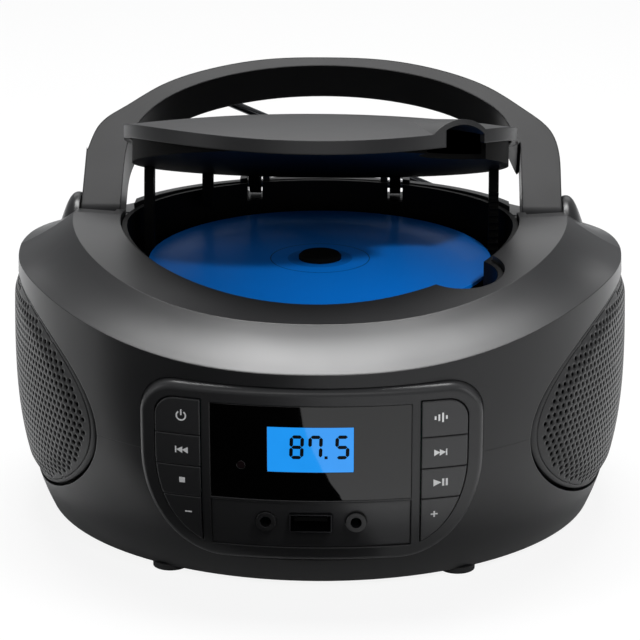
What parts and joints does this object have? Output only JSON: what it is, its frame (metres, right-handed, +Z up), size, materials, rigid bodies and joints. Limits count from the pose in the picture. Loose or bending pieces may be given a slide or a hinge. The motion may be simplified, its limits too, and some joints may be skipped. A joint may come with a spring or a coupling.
{
  "type": "portable disc player",
  "caption": "Round top-loading portable disc player with its lid open, a folding carry handle, side speakers, a front display panel with keys and a telescopic aerial.",
  "frame": {"origin": "on the surface the feet stand on, under the disc's centre, which is also the middle of the box around the whole object", "axes": "+Z up, -Y out of the front panel, +X to the viewer's right when facing the front"},
  "size_m": [0.2144, 0.2136, 0.1456],
  "materials": {
    "silver_deck": "metallic dark silver, satin",
    "base_black": "satin black",
    "well_black": "fine matt",
    "lid_silver": "metallic silver, satin",
    "handle_grey": "satin",
    "bezel_silver": "metallic silver",
    "key_dark": "satin",
    "window_black": "polished",
    "lcd_blue": "lit display",
    "disc_foil": "blue reflective disc",
    "chrome_tube": "polished",
    "steel": "drawn",
    "socket_metal": "stamped",
    "grille_black": "perforated sheet, powder coat",
    "cone_paper": "pressed paper",
    "rubber_pad": "matt",
    "board_green": "lacquered board",
    "gear_white": "acetal",
    "lens_clear": "polished",
    "iron_core": "laminated core and windings",
    "inner_black": "moulded"
  },
  "bodies": {
    "casing": {"aerial_bracket": "inner_black", "battery_box": "inner_black", "battery_contacts": "steel", "case_screws": "steel", "disc_well": "well_black", "display_window": "window_black", "drive_chassis": "inner_black", "front_bezel": "bezel_silver", "guide_rods": "steel", "handle_pins": "steel", "headphone_jack": "socket_metal", "ir_sensor": "window_black", "jack_panel": "inner_black", "key_board": "board_green", "key_switches": "inner_black", "lcd_module": "lcd_blue", "lid_damper": "inner_black", "lid_hinge_pins": "steel", "line_in_jack": "socket_metal", "lower_shell": "base_black", "main_board": "board_green", "mains_inlet": "inner_black", "power_transformer": "iron_core", "rubber_feet": "rubber_pad", "sled_motor": "steel", "speaker_cone_left": "cone_paper", "speaker_cone_right": "cone_paper", "speaker_grille_left": "grille_black", "speaker_grille_right": "grille_black", "speaker_left": "iron_core", "speaker_right": "iron_core", "spindle_motor": "steel", "upper_shell": "silver_deck", "usb_port": "socket_metal", "usb_tongue": "inner_black"},
    "lid": {"cd_lid": "lid_silver", "lid_inner_pan": "inner_black", "lid_arm_left": "inner_black", "lid_arm_right": "inner_black", "lid_stop_arm": "inner_black"},
    "damper_wheel": {"damper_gear": "gear_white"},
    "handle": {"carry_handle": "handle_grey"},
    "hub": {"spindle_hub": "inner_black"},
    "disc": {"compact_disc": "disc_foil"},
    "sled": {"laser_sled": "inner_black", "laser_lens": "lens_clear"},
    "sled_wheel": {"sled_gear": "gear_white"},
    "aerial_base": {"aerial_knuckle": "inner_black"},
    "aerial_outer": {"aerial_tube": "chrome_tube"},
    "aerial_mid": {"aerial_middle": "chrome_tube"},
    "aerial_end": {"aerial_tip": "chrome_tube"},
    "door": {"battery_door": "base_black"},
    "power_key": {"power_key": "key_dark"},
    "back_key": {"back_key": "key_dark"},
    "stop_key": {"stop_key": "key_dark"},
    "volume_down_key": {"volume_down_key": "key_dark"},
    "mode_key": {"mode_key": "key_dark"},
    "next_key": {"next_key": "key_dark"},
    "play_key": {"play_key": "key_dark"},
    "volume_up_key": {"volume_up_key": "key_dark"}
  },
  "joints": [
    {"name": "lid_hinge", "type": "hinge", "parent": "casing", "child": "lid", "pos_m": [0, 0.071, 0.093], "axis": [1, 0, 0], "range_deg": [0, 19.3]},
    {"name": "damper_spin", "type": "hinge", "parent": "casing", "child": "damper_wheel", "pos_m": [0.0609, 0.01011, 0.07084], "axis": [1, 0, 0], "range_deg": [-243, 3]},
    {"name": "handle_swing", "type": "hinge", "parent": "casing", "child": "handle", "pos_m": [0, 0.018, 0.094], "axis": [1, 0, 0], "range_deg": [-34, 44]},
    {"name": "hub_spin", "type": "hinge", "parent": "casing", "child": "hub", "pos_m": [0, 0, 0.085], "axis": [0, 0, 1], "continuous": true},
    {"name": "disc_lift", "type": "slide", "parent": "hub", "child": "disc", "axis": [0, 0, 1], "range_m": [0, 0.008]},
    {"name": "sled_slide", "type": "slide", "parent": "casing", "child": "sled", "axis": [0, -1, 0], "range_m": [0, 0.03]},
    {"name": "sled_wheel_spin", "type": "hinge", "parent": "casing", "child": "sled_wheel", "pos_m": [0.024, -0.037, 0.0715], "axis": [0, 0, 1], "range_deg": [-1, 360]},
    {"name": "power_key_press", "type": "slide", "parent": "casing", "child": "power_key", "axis": [0, 1, 0], "range_m": [0, 0.0009], "stiffness_N_per_m": 400},
    {"name": "back_key_press", "type": "slide", "parent": "casing", "child": "back_key", "axis": [0, 1, 0], "range_m": [0, 0.0009], "stiffness_N_per_m": 400},
    {"name": "stop_key_press", "type": "slide", "parent": "casing", "child": "stop_key", "axis": [0, 1, 0], "range_m": [0, 0.0009], "stiffness_N_per_m": 400},
    {"name": "volume_down_key_press", "type": "slide", "parent": "casing", "child": "volume_down_key", "axis": [0, 1, 0], "range_m": [0, 0.0009], "stiffness_N_per_m": 400},
    {"name": "mode_key_press", "type": "slide", "parent": "casing", "child": "mode_key", "axis": [0, 1, 0], "range_m": [0, 0.0009], "stiffness_N_per_m": 400},
    {"name": "next_key_press", "type": "slide", "parent": "casing", "child": "next_key", "axis": [0, 1, 0], "range_m": [0, 0.0009], "stiffness_N_per_m": 400},
    {"name": "play_key_press", "type": "slide", "parent": "casing", "child": "play_key", "axis": [0, 1, 0], "range_m": [0, 0.0009], "stiffness_N_per_m": 400},
    {"name": "volume_up_key_press", "type": "slide", "parent": "casing", "child": "volume_up_key", "axis": [0, 1, 0], "range_m": [0, 0.0009], "stiffness_N_per_m": 400},
    {"name": "aerial_swivel", "type": "hinge", "parent": "casing", "child": "aerial_base", "pos_m": [0.062, 0.097, 0.0753], "axis": [0, 0, 1], "range_deg": [-180, 0]},
    {"name": "aerial_tilt", "type": "hinge", "parent": "aerial_base", "child": "aerial_outer", "pos_m": [0.062, 0.097, 0.0753], "axis": [0, 1, 0], "range_deg": [-23, 67]},
    {"name": "aerial_draw_mid", "type": "slide", "parent": "aerial_outer", "child": "aerial_mid", "axis": [-0.9205, 0, 0.3907], "range_m": [0, 0.085]},
    {"name": "aerial_draw_tip", "type": "slide", "parent": "aerial_mid", "child": "aerial_end", "axis": [-0.9205, 0, 0.3907], "range_m": [0, 0.08]},
    {"name": "battery_door_hinge", "type": "hinge", "parent": "casing", "child": "door", "pos_m": [0, 0.0918, 0.0152], "axis": [-1, 0, 0], "range_deg": [0, 90]}
  ],
  "couplings": [
    {"joint": "damper_spin", "follows": "lid_hinge", "ratio": -12.5},
    {"joint": "sled_wheel_spin", "follows": "sled_slide", "rad_per_m": 208.33}
  ]
}
